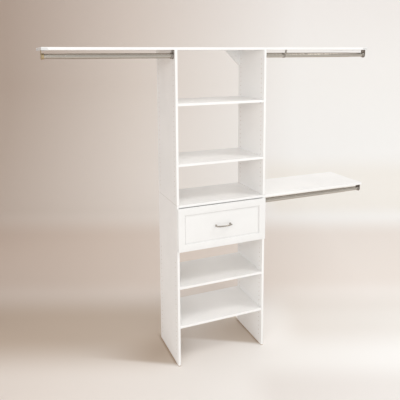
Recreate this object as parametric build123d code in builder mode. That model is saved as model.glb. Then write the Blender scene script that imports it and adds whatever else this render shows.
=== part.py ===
"""A wall mounted closet system: a two-piece shelf tower with one drawer, side shelves and hanging rods.

Millimetres, +Z up, +X to the viewer's right. The front faces -Y and the wall side faces +Y.
The origin is on the floor, at the bottom centre of the box round the whole closet.
"""
from build123d import *
from math import atan2, degrees
import os

os.makedirs("parts", exist_ok=True)

# Driving sizes of the closet
tower_width = 638.0
tower_depth = 370.6
tower_height = 2094.5
board_thickness = 15.9
left_shelf_length = 775.0
right_shelf_length = 828.0
seam_height = 1099.0
fixed_lower_shelf_height = 534.2
board_edge_round = 0.7

# Columns of shelf-pin holes in the side panels
hole_pitch = 32.0
hole_edge_distance = 37.0
pin_hole_radius = 2.5
pin_hole_depth = 10.0
lower_first_hole = 68.8
upper_first_hole = 56.0
lower_column_clearance = 60.0
upper_column_clearance = 55.0
lower_shelf_share = 0.3
middle_shelf_share = 0.22
upper_shelf_share = 0.67

# Adjustable shelves and their pins
shelf_end_gap = 0.6
shelf_front_setback = 1.0
shelf_rear_setback = 2.0
pin_fit = 0.05
peg_length = 9.0
pin_seat_rise = 2.5
pin_flange_thickness = 1.2
pin_flange_width = 9.0
pin_flange_drop = 4.5
pin_tab_length = 9.0
pin_tab_width = 7.0
pin_tab_drop = 3.5

# Cam locks, their bolts, and dowels
cam_radius = 7.4
cam_fit = 0.1
cam_height = 12.0
cam_distance = 24.0
cam_slot_length = 9.0
cam_slot_width = 1.8
cam_slot_depth = 1.4
small_cam_radius = 6.0
small_cam_height = 9.2
small_cam_distance = 20.0
bolt_thread_radius = 2.45
bolt_thread_length = 9.5
bolt_neck_radius = 2.2
bolt_head_radius = 3.2
bolt_head_length = 3.0
bolt_bore_radius = 3.9
bolt_head_play = 0.5
joint_hole_extra = 0.5
joint_hole_fit = 0.05
cam_edge_distance = 60.3
dowel_edge_distance = 92.3
side_cam_edge_distance = 115.3
side_dowel_edge_distance = 140.3
dowel_radius = 4.0
dowel_in_panel = 9.5
dowel_in_board = 18.0
stacking_pin_radius = 4.0
stacking_pin_length = 36.0
stacking_pin_edge_distance = 30.3

# Screws
screw_radius = 1.75
screw_fit = 0.05
screw_length = 13.0
screw_head_radius = 3.5
screw_head_height = 2.2
screw_slot_length = 4.2
screw_slot_width = 0.9
screw_slot_depth = 1.1
short_screw_length = 9.0

# Corner gussets that tie the tower to the wall
gusset_leg = 104.0
gusset_tip = 6.0
gusset_hole_radius = 2.75
gusset_hole_inset = 36.0
gusset_dowel_inset = 72.0

# Hanging rods, two tubes each
rod_drop = 35.0
rod_setback = 38.0
rod_radius = 16.0
rod_wall = 1.2
rod_fit = 0.08
inner_rod_wall = 1.1
rod_end_gap = 0.5
inner_rod_showing = 126.0
inner_rod_overlap = 300.0

# Rod brackets
bracket_plate = 2.0
bracket_strap_width = 42.0
bracket_disc_radius = 21.0
cup_depth = 14.0
cup_wall = 2.0
cup_gap = 0.33
bracket_screw_rise = 26.5
bracket_screw_spacing = 18.0
wall_screw_hole_radius = 2.1

# Steel trays on the outer ends of the two top shelves
tray_width = 35.0
tray_lip_height = 13.0
tray_sheet = 1.2
tray_screw_inset = 25.0
tray_screw_edge_distance = 120.3
wall_hole_edge_distance = 60.3
wall_screw_head_radius = 4.5
wall_screw_head_room = 4.0

# Strap that holds up the right top rod
strap_distance = 154.0
strap_width = 12.0
strap_sheet = 1.6
strap_gap = 0.3
strap_front_inset = 3.0
strap_foot_length = 16.0
strap_screw_inset = 13.0

# Drawer front with a raised frame
drawer_reveal = 3.0
drawer_front_height = 286.5
drawer_front_thickness = 15.9
drawer_front_gap = 1.5
frame_width = 45.0
frame_recess = 6.0
frame_bevel = 3.0

# Drawer box
drawer_side_gap = 12.7
drawer_side_thickness = 12.0
drawer_side_height = 210.0
drawer_side_lift = 30.0
drawer_box_length = 350.0
drawer_bottom_thickness = 3.2
drawer_bottom_lift = 10.0
groove_depth = 6.0
groove_play = 0.1
drawer_cam_low = 45.0
drawer_cam_high = 165.0
back_screw_low = 50.0
back_screw_high = 160.0
back_screw_length = 35.0

# Bow pull
pull_spacing = 102.0
pull_projection = 34.0
pull_overhang = 8.0
pull_bow_rise = 12.0
pull_bar_width = 9.0
pull_bar_thickness = 6.0
pull_foot_radius = 7.5
pull_foot_height = 3.5
pull_edge_round = 1.8
pull_post_radius = 4.5
pull_screw_radius = 2.0
pull_screw_head_radius = 4.0
pull_screw_head_height = 2.4
pull_screw_reach = 8.0

# Roller runners under the drawer sides
runner_sheet = 1.2
runner_length = 350.0
runner_flange = 10.8
runner_front_setback = 2.0
roller_radius = 8.6
roller_gap = 0.3
flange_play = 0.4
flange_edge_gap = 2.0
drawer_runner_rise = 8.0
roller_bore_fit = 0.06
axle_radius = 2.5
axle_head_radius = 3.8
cabinet_roller_start = 1.6
cabinet_roller_width = 7.0
cabinet_axle_head = 0.8
cabinet_roller_setback = 14.0
drawer_roller_start = 5.0
drawer_roller_width = 6.0
drawer_axle_head = 0.5
drawer_roller_setback = 12.0
roller_side_play = 0.3
runner_screw_places = (50.0, 190.0, 320.0)
foot_screw_places = (70.0, 290.0)

# Planes that the pieces share
front_build_up = drawer_front_gap + drawer_front_thickness - frame_recess + pull_projection
overall_depth = tower_depth + front_build_up
y_rear = overall_depth / 2
y_front = y_rear - tower_depth
x_outer = tower_width / 2
x_inner = x_outer - board_thickness
mid_shelf_bottom = seam_height - board_thickness
top_board_bottom = tower_height - board_thickness
rod_y = y_front + rod_setback
top_rod_z = top_board_bottom - rod_drop
lower_rod_z = mid_shelf_bottom - rod_drop
inner_rod_radius = rod_radius - rod_wall - rod_fit
y_hole_front = y_front + hole_edge_distance
y_hole_rear = y_rear - hole_edge_distance
y_box_front = y_front - drawer_front_gap
y_box_rear = y_box_front + drawer_box_length
y_face = y_box_front - drawer_front_thickness
drawer_front_top = mid_shelf_bottom - drawer_reveal
drawer_front_bottom = drawer_front_top - drawer_front_height
box_bottom = drawer_front_bottom + drawer_side_lift
x_box = x_inner - drawer_side_gap
runner_base = box_bottom - drawer_runner_rise
roller_z = runner_base + runner_sheet + roller_gap + roller_radius
runner_flange_z = roller_z + roller_radius + roller_gap
runner_top = runner_flange_z + runner_sheet + flange_play + runner_sheet
lower_hole_count = int((drawer_front_bottom - lower_column_clearance - lower_first_hole) / hole_pitch) + 1
upper_hole_room = top_board_bottom - seam_height - upper_column_clearance - upper_first_hole
upper_hole_count = int(upper_hole_room / hole_pitch) + 1
sides = {"left": -1, "right": 1}
shelf_lengths = {sides["left"]: left_shelf_length, sides["right"]: right_shelf_length}
x_walls = {side: x_outer + length for side, length in shelf_lengths.items()}
# The pieces are drawn round the tower's middle, then all moved by this along X, to centre the closet
closet_shift = (left_shelf_length - right_shelf_length) / 2


def shelf_bottom(column_start, hole_count, share):
    """Height of a shelf on the pin hole that lies at this share of the way up its column."""
    return column_start + round(share * (hole_count - 1)) * hole_pitch + pin_seat_rise


upper_column_start = seam_height + upper_first_hole
lower_shelf_bottom = shelf_bottom(lower_first_hole, lower_hole_count, lower_shelf_share)
middle_shelf_bottom = shelf_bottom(upper_column_start, upper_hole_count, middle_shelf_share)
upper_shelf_bottom = shelf_bottom(upper_column_start, upper_hole_count, upper_shelf_share)


def save(builder, label):
    """Moves a finished piece to its place in the centred closet and writes it to its own file."""
    placed = builder.part.moved(Location((closet_shift, 0, 0)))
    placed.label = label
    export_step(placed, f"parts/{label}.step")


def pair(edge_distance):
    """The two places across the depth that lie this far from the front and from the rear edge."""
    return (y_front + edge_distance, y_rear - edge_distance)


def bore(plane, radius, depth):
    """Cuts a round hole into the piece being built, from the plane along its normal."""
    with BuildSketch(plane) as mouth:
        Circle(radius)
    extrude(mouth.sketch, amount=depth, mode=Mode.SUBTRACT)


def post(plane, radius, length):
    """Adds a round bar to the piece being built, from the plane along its normal."""
    with BuildSketch(plane) as disc:
        Circle(radius)
    extrude(disc.sketch, amount=length)


def cross_slot(plane, length, width, depth):
    """Cuts a crosshead recess into the piece being built, from the plane along its normal."""
    with BuildSketch(plane) as cross:
        Rectangle(length, width)
        Rectangle(width, length)
    extrude(cross.sketch, amount=depth, mode=Mode.SUBTRACT)


def block(x_low, x_high, y_low, y_high, z_low, z_high, mode=Mode.ADD):
    """Adds or cuts a square-edged block between two corners."""
    with BuildSketch(Plane.XY.offset(z_low)) as foot:
        with Locations(((x_low + x_high) / 2, (y_low + y_high) / 2)):
            Rectangle(x_high - x_low, y_high - y_low)
    extrude(foot.sketch, amount=z_high - z_low, mode=mode)


# Joints between boards. Each is a plane on the panel's face at the middle of the board's
# thickness: its normal points into the board, and its X points to the face that shows the cam.
def board_joint(x, y, z, into):
    """A joint at the end of a level board that starts at x and runs the way into says."""
    return Plane(origin=(x, y, z), x_dir=(0, 0, -1), z_dir=(into, 0, 0))


def moved(joint, across, along):
    """A point of the joint, across towards the cam's face and along into the board."""
    return joint.from_local_coords((across, 0, along))


def cam_plane(joint, half_board, distance):
    """The plane of the cam's visible face, with its normal into the board."""
    return Plane(origin=moved(joint, half_board, distance), z_dir=-joint.x_dir)


def cut_cam_joint(joint, half_board, distance, radius, height):
    """Cuts the cam's pocket and the bolt's bore into a board."""
    bore(cam_plane(joint, half_board, distance), radius + cam_fit, height + joint_hole_extra)
    bore(joint, bolt_bore_radius, distance)


def cut_bolt_hole(joint):
    """Cuts the blind hole that takes the bolt's thread into a panel."""
    into_panel = Plane(origin=joint.origin, z_dir=-joint.z_dir)
    bore(into_panel, bolt_thread_radius + joint_hole_fit, bolt_thread_length + joint_hole_extra)


def add_cam(joint, half_board, distance, radius, height):
    """One cam: a drum with a crosshead slot and a notch that is open to the bolt's head."""
    face = cam_plane(joint, half_board, distance)
    post(face, radius, height)
    cross_slot(face, cam_slot_length, cam_slot_width, cam_slot_depth)
    head_start = distance - bolt_head_length - bolt_head_play
    edge = distance - radius - cam_fit
    widths = {
        edge: (bolt_neck_radius + bolt_head_play, head_start),
        head_start: (bolt_head_radius + bolt_head_play, distance + bolt_head_play),
    }
    for start, (notch_half, end) in widths.items():
        foot = Plane(origin=moved(joint, 0, start), x_dir=joint.x_dir, z_dir=joint.z_dir)
        with BuildSketch(foot) as notch:
            with Locations((-height / 2, 0)):
                Rectangle(height + 2 * notch_half, 2 * notch_half)
        extrude(notch.sketch, amount=end - start, mode=Mode.SUBTRACT)


def add_bolt(joint, distance):
    """One cam bolt: thread in the panel, thin neck in the board, and a head inside the cam."""
    into_panel = Plane(origin=joint.origin, z_dir=-joint.z_dir)
    post(into_panel, bolt_thread_radius, bolt_thread_length)
    post(joint, bolt_neck_radius, distance)
    head_start = distance - bolt_head_length
    post(Plane(origin=moved(joint, 0, head_start), z_dir=joint.z_dir), bolt_head_radius, bolt_head_length)


def cut_dowel_end(joint):
    """Cuts the dowel's hole into a board's end."""
    bore(joint, dowel_radius + joint_hole_fit, dowel_in_board + joint_hole_extra)


def cut_dowel_face(joint):
    """Cuts the dowel's hole into a panel's face."""
    into_panel = Plane(origin=joint.origin, z_dir=-joint.z_dir)
    bore(into_panel, dowel_radius + joint_hole_fit, dowel_in_panel + joint_hole_extra)


def add_dowel(joint):
    """One round dowel that crosses the joint."""
    foot = Plane(origin=moved(joint, 0, -dowel_in_panel), z_dir=joint.z_dir)
    post(foot, dowel_radius, dowel_in_panel + dowel_in_board)


def joints_at(x, z, into, edge_distance):
    """The front and the rear joint of one board's end."""
    return [board_joint(x, y, z, into) for y in pair(edge_distance)]


half_board = board_thickness / 2
mid_shelf_middle = mid_shelf_bottom + half_board
lower_fixed_middle = fixed_lower_shelf_height + half_board
top_board_middle = top_board_bottom + half_board


def inner_joints(side, middle, edge_distance):
    """Joints of a board that stands between the panels, on one side."""
    return joints_at(side * x_inner, middle, -side, edge_distance)


def outer_joints(side, middle, edge_distance):
    """Joints of a side shelf on a panel's outer face."""
    return joints_at(side * x_outer, middle, side, edge_distance)


def gusset_joints(side):
    """Where one gusset is dowelled: into the panel, and up into the tower's top board."""
    y = y_rear - half_board
    on_panel = Plane(origin=(side * x_inner, y, top_board_bottom - gusset_dowel_inset), z_dir=(-side, 0, 0))
    on_board = Plane(origin=(side * (x_inner - gusset_dowel_inset), y, top_board_bottom), z_dir=(0, 0, -1))
    return [on_panel, on_board]


def bracket_screw_planes(side, z):
    """The two screws of a rod bracket on a panel's outer face, each seated on the bracket's plate."""
    x = side * (x_outer + bracket_plate)
    offsets = (-bracket_screw_spacing / 2, bracket_screw_spacing / 2)
    return [Plane(origin=(x, rod_y + dy, z + bracket_screw_rise), z_dir=(side, 0, 0)) for dy in offsets]


def runner_screw_planes(side):
    """The screws of one cabinet runner, each seated on the inside of the runner's web."""
    x = side * (x_inner - runner_sheet)
    y_start = y_front + runner_front_setback
    return [Plane(origin=(x, y_start + dy, roller_z), z_dir=(-side, 0, 0)) for dy in runner_screw_places]


def cut_screw_hole(seat, gap, length):
    """Cuts the hole for a screw's shank, which starts gap below the screw's seat."""
    start = Plane(origin=seat.from_local_coords((0, 0, -gap)), z_dir=-seat.z_dir)
    bore(start, screw_radius + screw_fit, length - gap + joint_hole_extra)


def add_screw(seat, length):
    """One screw with a low round head, seated on the plane."""
    post(seat, screw_head_radius, screw_head_height)
    post(Plane(origin=seat.origin, z_dir=-seat.z_dir), screw_radius, length)
    top = Plane(origin=seat.from_local_coords((0, 0, screw_head_height)), z_dir=-seat.z_dir)
    cross_slot(top, screw_slot_length, screw_slot_width, screw_slot_depth)


def stacking_pin_places(side):
    """The two steel pins that keep an upper panel on its lower panel."""
    return [(side * (x_outer - half_board), y) for y in pair(stacking_pin_edge_distance)]


# Side panels of the tower, each in a lower and an upper length that meet at the seam
def side_panel(label, side, z_low, z_high, first_hole, hole_count):
    """One panel: an upright board with two columns of shelf-pin holes and its joints' holes."""
    is_lower = z_low < seam_height
    with BuildPart() as panel:
        x_low, x_high = sorted((side * x_inner, side * x_outer))
        block(x_low, x_high, y_front, y_rear, z_low, z_high)
        front_edges = panel.edges().filter_by(Axis.Z).group_by(Axis.Y)[0]
        fillet(front_edges, board_edge_round)
        face = Plane(origin=(side * x_inner, 0, 0), x_dir=(0, 1, 0), z_dir=(side, 0, 0))
        heights = [z_low + first_hole + n * hole_pitch for n in range(hole_count)]
        with BuildSketch(face):
            with Locations(*[(y, side * z) for y in (y_hole_front, y_hole_rear) for z in heights]):
                Circle(pin_hole_radius)
        extrude(amount=pin_hole_depth, mode=Mode.SUBTRACT)
        middles = (mid_shelf_middle, lower_fixed_middle) if is_lower else (top_board_middle,)
        for middle in middles:
            for joint in inner_joints(side, middle, cam_edge_distance):
                cut_bolt_hole(joint)
            for joint in inner_joints(side, middle, dowel_edge_distance):
                cut_dowel_face(joint)
        has_side_shelf = not is_lower or side > 0
        if has_side_shelf:
            middle = mid_shelf_middle if is_lower else top_board_middle
            rod_z = lower_rod_z if is_lower else top_rod_z
            for joint in outer_joints(side, middle, side_cam_edge_distance):
                cut_bolt_hole(joint)
            for joint in outer_joints(side, middle, side_dowel_edge_distance):
                cut_dowel_face(joint)
            for seat in bracket_screw_planes(side, rod_z):
                cut_screw_hole(seat, bracket_plate, screw_length)
        if is_lower:
            for seat in runner_screw_planes(side):
                cut_screw_hole(seat, runner_sheet, screw_length)
        else:
            cut_dowel_face(gusset_joints(side)[0])
        seam_normal = (0, 0, -1) if is_lower else (0, 0, 1)
        for x, y in stacking_pin_places(side):
            seam = Plane(origin=(x, y, seam_height), z_dir=seam_normal)
            bore(seam, stacking_pin_radius + joint_hole_fit, stacking_pin_length / 2 + joint_hole_extra)
    save(panel, label)


for side_name, side in sides.items():
    lower_panel, upper_panel = f"lower_{side_name}_panel", f"upper_{side_name}_panel"
    side_panel(lower_panel, side, 0, seam_height, lower_first_hole, lower_hole_count)
    side_panel(upper_panel, side, seam_height, tower_height, upper_first_hole, upper_hole_count)


# Boards that are locked between the panels
def fixed_board(label, z_bottom):
    """A board between the panels, held at each end by two cams and two dowels."""
    with BuildPart() as board:
        block(-x_inner, x_inner, y_front, y_rear, z_bottom, z_bottom + board_thickness)
        front_edges = board.edges().filter_by(Axis.X).group_by(Axis.Y)[0]
        fillet(front_edges, board_edge_round)
        for side in sides.values():
            for joint in inner_joints(side, z_bottom + half_board, cam_edge_distance):
                cut_cam_joint(joint, half_board, cam_distance, cam_radius, cam_height)
            for joint in inner_joints(side, z_bottom + half_board, dowel_edge_distance):
                cut_dowel_end(joint)
            if z_bottom == top_board_bottom:
                cut_dowel_face(gusset_joints(side)[1])
    save(board, label)


fixed_board("fixed_lower_shelf", fixed_lower_shelf_height)
fixed_board("fixed_mid_shelf", mid_shelf_bottom)
fixed_board("tower_top_board", top_board_bottom)


# Shelves that rest on pins and can be moved to other holes
def adjustable_shelf(label, z_bottom):
    """A loose shelf between the panels."""
    half_length = x_inner - shelf_end_gap
    with BuildPart() as shelf:
        y_low = y_front + shelf_front_setback
        y_high = y_rear - shelf_rear_setback
        block(-half_length, half_length, y_low, y_high, z_bottom, z_bottom + board_thickness)
        front_edges = shelf.edges().filter_by(Axis.X).group_by(Axis.Y)[0]
        fillet(front_edges, board_edge_round)
    save(shelf, label)


adjustable_shelves = {
    "lower_adjustable_shelf": lower_shelf_bottom,
    "middle_adjustable_shelf": middle_shelf_bottom,
    "upper_adjustable_shelf": upper_shelf_bottom,
}
for label, z_bottom in adjustable_shelves.items():
    adjustable_shelf(label, z_bottom)

# Shelf pins: a peg in the panel's hole, a flange on its face and a flat tab under the shelf
with BuildPart() as shelf_pins:
    for z_bottom in adjustable_shelves.values():
        z = z_bottom - pin_seat_rise
        for side in sides.values():
            for y in (y_hole_front, y_hole_rear):
                peg_foot = Plane(origin=(side * x_inner, y, z), z_dir=(side, 0, 0))
                post(peg_foot, pin_hole_radius - pin_fit, peg_length)
                flange_end = side * (x_inner - pin_flange_thickness)
                x_low, x_high = sorted((side * x_inner, flange_end))
                half_flange = pin_flange_width / 2
                block(x_low, x_high, y - half_flange, y + half_flange, z - pin_flange_drop, z_bottom)
                x_low, x_high = sorted((flange_end, side * (x_inner - pin_tab_length)))
                half_tab = pin_tab_width / 2
                block(x_low, x_high, y - half_tab, y + half_tab, z - pin_tab_drop, z_bottom)
save(shelf_pins, "shelf_pins")

# Side shelves: two at the top, level with the tower's top, and one on the right at the seam.
# A steel tray closes the outer end of each top shelf.
strap_x = x_outer + strap_distance
strap_screw_plane = Plane(
    origin=(strap_x, y_front + strap_screw_inset, top_board_bottom - strap_sheet), z_dir=(0, 0, -1)
)


def side_shelf(label, side, z_bottom, length, has_tray):
    """A shelf that starts at a panel's outer face and runs out to the side wall."""
    with BuildPart() as shelf:
        x_low, x_high = sorted((side * x_outer, side * (x_outer + length)))
        block(x_low, x_high, y_front, y_rear, z_bottom, z_bottom + board_thickness)
        front_edges = shelf.edges().filter_by(Axis.X).group_by(Axis.Y)[0]
        fillet(front_edges, board_edge_round)
        for joint in outer_joints(side, z_bottom + half_board, side_cam_edge_distance):
            cut_cam_joint(joint, half_board, cam_distance, cam_radius, cam_height)
        for joint in outer_joints(side, z_bottom + half_board, side_dowel_edge_distance):
            cut_dowel_end(joint)
        if has_tray:
            for seat in tray_screw_planes(side):
                cut_screw_hole(seat, tray_sheet, short_screw_length)
            if side > 0:
                cut_screw_hole(strap_screw_plane, strap_sheet, short_screw_length)
            for plane in wall_hole_planes(side):
                bore(plane.offset(tray_sheet), wall_screw_head_radius, wall_screw_head_room)
    save(shelf, label)


def tray_screw_planes(side):
    """The two screws that hold one tray, seated on the underside of its bottom flange."""
    x = side * (x_walls[side] - tray_screw_inset)
    z = top_board_bottom - tray_sheet
    return [Plane(origin=(x, y, z), z_dir=(0, 0, -1)) for y in pair(tray_screw_edge_distance)]


def wall_hole_planes(side):
    """The two holes of one tray's web, with their normals from the side wall towards the tower."""
    x = side * x_walls[side]
    z = top_board_bottom + half_board
    return [Plane(origin=(x, y, z), z_dir=(-side, 0, 0)) for y in pair(wall_hole_edge_distance)]


def end_tray(label, side):
    """A folded steel tray: a flange under the shelf's end, a web on the wall and a front lip."""
    x_end = side * x_walls[side]
    x_start = x_end - side * tray_width
    z_low = top_board_bottom - tray_sheet
    z_high = top_board_bottom + tray_lip_height
    with BuildPart() as tray:
        x_low, x_high = sorted((x_start, x_end))
        block(x_low, x_high, y_front - tray_sheet, y_rear, z_low, top_board_bottom)
        block(x_low, x_high, y_front - tray_sheet, y_front, z_low, z_high)
        x_low, x_high = sorted((x_end - side * tray_sheet, x_end))
        block(x_low, x_high, y_front - tray_sheet, y_rear, z_low, z_high)
        for seat in tray_screw_planes(side):
            cut_screw_hole(seat, 0, tray_sheet)
        for plane in wall_hole_planes(side):
            bore(plane, wall_screw_hole_radius, tray_sheet)
    save(tray, label)


for side_name, side in sides.items():
    length = shelf_lengths[side] - tray_sheet
    side_shelf(f"{side_name}_top_shelf", side, top_board_bottom, length, True)
    end_tray(f"{side_name}_end_tray", side)
side_shelf("lower_right_side_shelf", sides["right"], mid_shelf_bottom, right_shelf_length, False)

# Cams, bolts and dowels of every board joint in the tower and the side shelves
cam_joints = []
dowel_joints = []
for side in sides.values():
    for middle in (lower_fixed_middle, mid_shelf_middle, top_board_middle):
        cam_joints += inner_joints(side, middle, cam_edge_distance)
        dowel_joints += inner_joints(side, middle, dowel_edge_distance)
    cam_joints += outer_joints(side, top_board_middle, side_cam_edge_distance)
    dowel_joints += outer_joints(side, top_board_middle, side_dowel_edge_distance)
    dowel_joints += gusset_joints(side)
cam_joints += outer_joints(sides["right"], mid_shelf_middle, side_cam_edge_distance)
dowel_joints += outer_joints(sides["right"], mid_shelf_middle, side_dowel_edge_distance)

with BuildPart() as cam_locks:
    for joint in cam_joints:
        add_cam(joint, half_board, cam_distance, cam_radius, cam_height)
save(cam_locks, "cam_locks")

with BuildPart() as cam_bolts:
    for joint in cam_joints:
        add_bolt(joint, cam_distance)
save(cam_bolts, "cam_bolts")

with BuildPart() as dowels:
    for joint in dowel_joints:
        add_dowel(joint)
save(dowels, "dowels")

with BuildPart() as stacking_pins:
    for side in sides.values():
        for x, y in stacking_pin_places(side):
            foot = Plane((x, y, seam_height - stacking_pin_length / 2))
            post(foot, stacking_pin_radius, stacking_pin_length)
save(stacking_pins, "stacking_pins")


# Corner gussets at the rear of the tower's top, drilled for the wall screws
def gusset(label, side):
    """A three-cornered board in the corner of panel and top board, with blunt tips."""
    corner_x, corner_z = side * x_inner, top_board_bottom
    with BuildPart() as web:
        with BuildSketch(Plane.XZ.offset(-y_rear)):
            with BuildLine():
                Polyline(
                    (corner_x, corner_z),
                    (corner_x - side * gusset_leg, corner_z),
                    (corner_x - side * gusset_leg, corner_z - gusset_tip),
                    (corner_x - side * gusset_tip, corner_z - gusset_leg),
                    (corner_x, corner_z - gusset_leg),
                    close=True,
                )
            make_face()
        extrude(amount=board_thickness)
        hole_x = corner_x - side * gusset_hole_inset
        hole = Plane(origin=(hole_x, y_rear, corner_z - gusset_hole_inset), z_dir=(0, -1, 0))
        bore(hole, gusset_hole_radius, board_thickness)
        for joint in gusset_joints(side):
            cut_dowel_end(joint)
    save(web, label)


for side_name, side in sides.items():
    gusset(f"{side_name}_gusset", side)


# Hanging rods: an outer tube in the tower's cup and an inner tube in the wall's cup
def rod(name, side, z):
    """The two tubes of one rod, from the tower's bracket out to the wall's bracket."""
    x_tower = x_outer + bracket_plate + rod_end_gap
    x_far = x_walls[side] - bracket_plate - rod_end_gap
    x_step = x_far - inner_rod_showing
    with BuildPart() as outer_tube:
        with BuildSketch(Plane(origin=(side * x_tower, rod_y, z), z_dir=(side, 0, 0))):
            Circle(rod_radius)
            Circle(rod_radius - rod_wall, mode=Mode.SUBTRACT)
        extrude(amount=x_step - x_tower)
    save(outer_tube, f"{name}_rod_outer_tube")
    with BuildPart() as inner_tube:
        x_start = x_step - inner_rod_overlap
        with BuildSketch(Plane(origin=(side * x_start, rod_y, z), z_dir=(side, 0, 0))):
            Circle(inner_rod_radius)
            Circle(inner_rod_radius - inner_rod_wall, mode=Mode.SUBTRACT)
        extrude(amount=x_far - x_start)
    save(inner_tube, f"{name}_rod_inner_tube")


def rod_bracket(label, x_face, into, z, z_top, seat_radius, hole_radius):
    """A plate with a round cup: a strap up to the shelf and a disc behind the cup."""
    base = Plane(origin=(x_face, rod_y, z), x_dir=(0, 1, 0), z_dir=(into, 0, 0))
    up = base.y_dir.Z
    height = z_top - z
    cup_radius = seat_radius + cup_gap
    with BuildPart() as bracket:
        with BuildSketch(base):
            Circle(bracket_disc_radius)
            with Locations((0, up * height / 2)):
                Rectangle(bracket_strap_width, height)
            half_spacing = bracket_screw_spacing / 2
            with Locations(*[(dy, up * bracket_screw_rise) for dy in (-half_spacing, half_spacing)]):
                Circle(hole_radius, mode=Mode.SUBTRACT)
        extrude(amount=bracket_plate)
        with BuildSketch(base.offset(bracket_plate)):
            Circle(cup_radius + cup_wall)
            Circle(cup_radius, mode=Mode.SUBTRACT)
        extrude(amount=cup_depth)
    save(bracket, label)


rods = {
    "left": (sides["left"], top_rod_z, top_board_bottom, tray_sheet),
    "right": (sides["right"], top_rod_z, top_board_bottom, tray_sheet),
    "lower": (sides["right"], lower_rod_z, mid_shelf_bottom, 0),
}
for name, (side, z, z_shelf, tray) in rods.items():
    rod(name, side, z)
    shank_hole = screw_radius + screw_fit
    rod_bracket(f"{name}_rod_tower_bracket", side * x_outer, side, z, z_shelf, rod_radius, shank_hole)
    rod_bracket(
        f"{name}_rod_wall_bracket",
        side * x_walls[side],
        -side,
        z,
        z_shelf - tray,
        inner_rod_radius,
        wall_screw_hole_radius,
    )

with BuildPart() as rod_bracket_screws:
    for side, z, z_shelf, tray in rods.values():
        for seat in bracket_screw_planes(side, z):
            add_screw(seat, screw_length)
save(rod_bracket_screws, "rod_bracket_screws")

# Strap from the right top shelf down round the rod's front, with one screw into the shelf
strap_inner = rod_radius + strap_gap
strap_outer = strap_inner + strap_sheet
strap_foot_front = y_front + strap_front_inset
strap_foot_rear = strap_foot_front + strap_foot_length
with BuildPart() as rod_strap:
    with BuildSketch(Plane.YZ.offset(strap_x - strap_width / 2)):
        with Locations((rod_y, top_rod_z)):
            Circle(strap_outer)
            Circle(strap_inner, mode=Mode.SUBTRACT)
        with Locations((rod_y, top_rod_z + strap_outer / 2)):
            Rectangle(2 * strap_outer, strap_outer, mode=Mode.SUBTRACT)
        with BuildLine():
            Polyline(
                (strap_foot_front, top_board_bottom),
                (strap_foot_front, top_board_bottom - strap_sheet),
                (rod_y - strap_outer, top_rod_z),
                (rod_y - strap_inner, top_rod_z),
                (strap_foot_front + 2 * strap_sheet, top_board_bottom - strap_sheet),
                (strap_foot_rear, top_board_bottom - strap_sheet),
                (strap_foot_rear, top_board_bottom),
                close=True,
            )
        make_face()
    extrude(amount=strap_width)
    cut_screw_hole(strap_screw_plane, 0, strap_sheet)
save(rod_strap, "rod_support_strap")

with BuildPart() as underside_screws:
    for side in sides.values():
        for seat in tray_screw_planes(side):
            add_screw(seat, short_screw_length)
    add_screw(strap_screw_plane, short_screw_length)
save(underside_screws, "underside_screws")

# Drawer front: a board with a recessed middle, which leaves a raised frame round it
pull_z = drawer_front_bottom + drawer_front_height / 2
y_recess = y_face + frame_recess
groove_z = box_bottom + drawer_bottom_lift
groove_height = drawer_bottom_thickness + 2 * groove_play
half_inside = x_box - drawer_side_thickness
half_side = drawer_side_thickness / 2
pull_posts = (-pull_spacing / 2, pull_spacing / 2)


def drawer_joints():
    """The joints of the drawer's sides on the front's back face, with the cams facing inwards."""
    joints = []
    for side in sides.values():
        for z in (box_bottom + drawer_cam_low, box_bottom + drawer_cam_high):
            place = (side * (x_box - half_side), y_box_front, z)
            joints.append(Plane(origin=place, x_dir=(-side, 0, 0), z_dir=(0, 1, 0)))
    return joints


def back_screw_planes(side):
    """The screws through a drawer side into the end of the drawer's back, seated on the side."""
    y = y_box_rear - half_side
    heights = (box_bottom + back_screw_low, box_bottom + back_screw_high)
    return [Plane(origin=(side * x_box, y, z), z_dir=(side, 0, 0)) for z in heights]


def cut_groove(half_width, y_low, y_high):
    """Cuts the groove that takes the drawer's bottom, between these places across and along."""
    block(-half_width, half_width, y_low, y_high, groove_z, groove_z + groove_height, Mode.SUBTRACT)


with BuildPart() as drawer_front:
    half_front = x_outer - drawer_reveal
    block(-half_front, half_front, y_face, y_box_front, drawer_front_bottom, drawer_front_top)
    face_edges = drawer_front.faces().sort_by(Axis.Y)[0].edges()
    fillet(face_edges, board_edge_round)
    with BuildSketch(Plane.XZ.offset(-y_face)):
        with Locations((0, pull_z)):
            Rectangle(2 * (half_front - frame_width), drawer_front_height - 2 * frame_width)
    extrude(amount=-frame_recess, taper=degrees(atan2(frame_bevel, frame_recess)), mode=Mode.SUBTRACT)
    cut_groove(half_inside + groove_depth, y_box_front - groove_depth, y_box_front)
    for joint in drawer_joints():
        cut_bolt_hole(joint)
    for x in pull_posts:
        hole = Plane(origin=(x, y_box_front, pull_z), z_dir=(0, -1, 0))
        bore(hole, pull_screw_radius + screw_fit, drawer_front_thickness)
save(drawer_front, "drawer_front")


# Drawer box: two sides, a back that stands on the bottom board, and the bottom in its grooves
def drawer_side(label, side):
    """One side of the drawer, grooved inside and drilled for its cams and screws."""
    x_low, x_high = sorted((side * half_inside, side * x_box))
    with BuildPart() as board:
        block(x_low, x_high, y_box_front, y_box_rear, box_bottom, box_bottom + drawer_side_height)
        cut_groove(half_inside + groove_depth, y_box_front, y_box_rear)
        for joint in drawer_joints():
            if joint.origin.X * side > 0:
                cut_cam_joint(joint, half_side, small_cam_distance, small_cam_radius, small_cam_height)
        for seat in back_screw_planes(side):
            cut_screw_hole(seat, 0, drawer_side_thickness)
        for seat in foot_screw_planes(side):
            cut_screw_hole(seat, runner_sheet, short_screw_length)
    save(board, label)


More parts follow.
